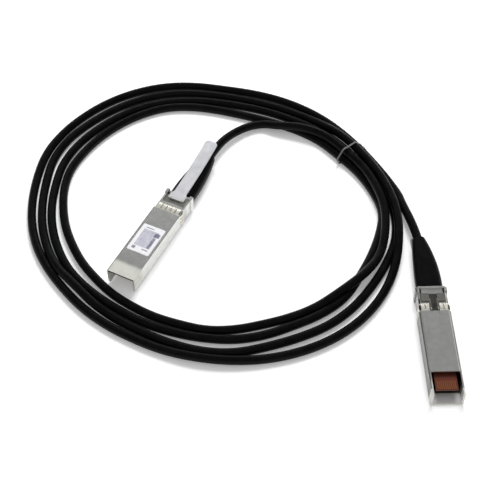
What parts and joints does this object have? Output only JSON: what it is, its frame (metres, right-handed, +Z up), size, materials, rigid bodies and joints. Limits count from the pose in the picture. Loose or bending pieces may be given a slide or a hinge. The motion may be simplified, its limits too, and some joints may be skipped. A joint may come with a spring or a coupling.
{
  "type": "direct attach copper cable",
  "caption": "Coiled copper network cable with a metal-shelled pluggable connector, a strain relief boot and a pull-tab release at each end, held by a tie.",
  "frame": {"origin": "on the surface that the cable rests on, under the middle of plug B's mating end", "axes": "-Y out of plug B's mating end, +Y back along plug B towards its cable, +Z up; plug A lies inside the coil, turned 62.1 degrees from +X"},
  "size_m": [0.1876, 0.1942, 0.0118],
  "materials": {
    "plated_casting": "satin nickel plate on a die casting",
    "tinned_steel": "bright tin plate",
    "spring_steel": "bare spring steel, satin",
    "circuit_board": "solder resist over glass laminate",
    "gold_plate": "hard gold plate",
    "black_moulding": "matt moulded package",
    "wire_foil": "foil-wrapped cores",
    "boot_rubber": "smooth satin moulding",
    "clear_plastic": "milky translucent strip",
    "label_film": "bare white film",
    "cable_jacket": "smooth black jacket, satin",
    "tie_plastic": "grey plastic over wire"
  },
  "bodies": {
    "cable_assembly": {"plug_a_lower_shell": "plated_casting", "plug_a_upper_shell": "plated_casting", "plug_a_shield_collar": "tinned_steel", "plug_a_paddle_card": "circuit_board", "plug_a_contact_pads": "gold_plate", "plug_a_memory_chip": "black_moulding", "plug_a_signal_wires": "wire_foil", "plug_a_crimp_ferrule": "tinned_steel", "plug_a_return_springs": "spring_steel", "plug_a_cover_screws": "spring_steel", "plug_a_boot": "boot_rubber", "plug_b_lower_shell": "plated_casting", "plug_b_upper_shell": "plated_casting", "plug_b_shield_collar": "tinned_steel", "plug_b_paddle_card": "circuit_board", "plug_b_contact_pads": "gold_plate", "plug_b_memory_chip": "black_moulding", "plug_b_signal_wires": "wire_foil", "plug_b_crimp_ferrule": "tinned_steel", "plug_b_return_springs": "spring_steel", "plug_b_cover_screws": "spring_steel", "plug_b_boot": "boot_rubber", "plug_a_label": "label_film", "cable_tail_a": "cable_jacket", "cable_tail_b": "cable_jacket", "cable_coil": "cable_jacket", "coil_tie": "tie_plastic"},
    "release_a": {"plug_a_release_slider": "spring_steel", "plug_a_pull_tab": "clear_plastic", "plug_a_tab_rivets": "tinned_steel"},
    "release_b": {"plug_b_release_slider": "spring_steel", "plug_b_pull_tab": "clear_plastic", "plug_b_tab_rivets": "tinned_steel"}
  },
  "joints": [
    {"name": "release_a_pull", "type": "slide", "parent": "cable_assembly", "child": "release_a", "axis": [0.4679, 0.8838, 0], "range_m": [0, 0.0025], "stiffness_N_per_m": 1500, "springref_m": -0.001},
    {"name": "release_b_pull", "type": "slide", "parent": "cable_assembly", "child": "release_b", "axis": [0, 1, 0], "range_m": [0, 0.0025], "stiffness_N_per_m": 1500, "springref_m": -0.001}
  ]
}
